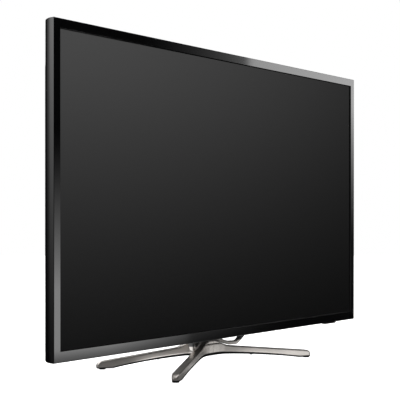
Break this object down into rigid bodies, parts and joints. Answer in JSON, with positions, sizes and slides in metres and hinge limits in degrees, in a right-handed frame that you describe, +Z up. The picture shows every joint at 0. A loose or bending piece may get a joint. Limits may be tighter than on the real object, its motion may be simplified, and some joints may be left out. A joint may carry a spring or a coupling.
{
  "type": "flat screen tv",
  "caption": "Edge-lit flat screen television with a slim glossy bezel, a deep lower back with plug bays, and a cast four-legged stand that swivels.",
  "frame": {"origin": "on the floor under the swivel axis, at the centre of the feet's outline", "axes": "+X to the viewer's right along the screen, +Y towards the back of the set, +Z up"},
  "size_m": [0.9156, 0.2237, 0.5887],
  "materials": {
    "cast_metal": "satin, gunmetal",
    "black_liner": "matt",
    "rubber": "matt",
    "steel": "bright",
    "sheet_steel": "zinc plated",
    "nylon": "plain",
    "gloss_black": "polished",
    "smoked_plastic": "smoked",
    "screen_glass": "semi-matt, dark when off",
    "foam": "foam",
    "black_plastic": "fine grain",
    "film": "translucent",
    "acrylic": "clear",
    "white_board": "solder mask",
    "led": "phosphor",
    "aluminium": "extruded",
    "circuit_board": "solder mask",
    "power_board": "bare laminate",
    "amber_film": "flexible film",
    "ribbon": "ribbon",
    "transformer": "taped",
    "capacitor": "sleeved",
    "brass": "bright",
    "wire": "insulated",
    "driver": "paper and rubber",
    "jack_plate": "painted",
    "socket_shell": "plated",
    "gilt": "plated"
  },
  "bodies": {
    "stand": {"stand_base": "cast_metal", "base_liner": "black_liner", "foot_pads": "rubber", "liner_screws": "steel", "swivel_shaft": "steel", "bearing_washer": "nylon", "friction_washer": "nylon", "spring_washer": "steel", "swivel_nut": "steel"},
    "set": {"swivel_neck": "cast_metal", "neck_screws": "steel", "stand_bracket": "sheet_steel", "front_bezel": "gloss_black", "receiver_window": "smoked_plastic", "receiver_board": "circuit_board", "panel_gasket": "foam", "lcd_panel": "screen_glass", "panel_frame": "black_plastic", "optical_sheets": "film", "light_guide": "acrylic", "reflector_sheet": "film", "led_strip": "white_board", "led_chips": "led", "led_heat_sink": "aluminium", "rear_chassis": "sheet_steel", "source_boards": "circuit_board", "panel_films": "amber_film", "tcon_board": "circuit_board", "tcon_cables": "ribbon", "lvds_cable": "ribbon", "main_board": "circuit_board", "main_heat_sink": "aluminium", "power_board": "power_board", "power_transformer": "transformer", "power_capacitors": "capacitor", "ac_inlet": "black_plastic", "inlet_pins": "brass", "power_harness": "wire", "led_harness": "wire", "board_posts": "steel", "board_screws": "steel", "speaker_boxes": "black_plastic", "speaker_drivers": "driver", "speaker_wires": "wire", "wifi_module": "circuit_board", "rear_cover": "black_plastic", "bay_trays": "black_plastic", "cover_screws": "steel", "jack_plate": "jack_plate", "hdmi_sockets": "socket_shell", "usb_sockets": "socket_shell", "lan_socket": "socket_shell", "av_jacks": "gilt", "tuner_socket": "socket_shell", "mount_inserts": "steel", "jog_board": "circuit_board", "jog_housing": "black_plastic"},
    "jog_ring": {"jog_ring": "nylon"},
    "jog_stem": {"jog_stem": "black_plastic"},
    "jog_cap": {"jog_cap": "black_plastic"}
  },
  "joints": [
    {"name": "swivel", "type": "hinge", "parent": "stand", "child": "set", "pos_m": [0, 0, 0.04], "axis": [0, 0, 1], "range_deg": [-20, 20]},
    {"name": "jog_left_right", "type": "hinge", "parent": "set", "child": "jog_ring", "pos_m": [0.3878, -0.046, 0.102], "axis": [0, 0, 1], "range_deg": [-8, 8], "stiffness_Nm_per_rad": 0.01},
    {"name": "jog_up_down", "type": "hinge", "parent": "jog_ring", "child": "jog_stem", "pos_m": [0.3878, -0.046, 0.102], "axis": [1, 0, 0], "range_deg": [-8, 8], "stiffness_Nm_per_rad": 0.01},
    {"name": "jog_press", "type": "slide", "parent": "jog_stem", "child": "jog_cap", "axis": [0, -1, 0], "range_m": [0, 0.0008], "stiffness_N_per_m": 100}
  ]
}
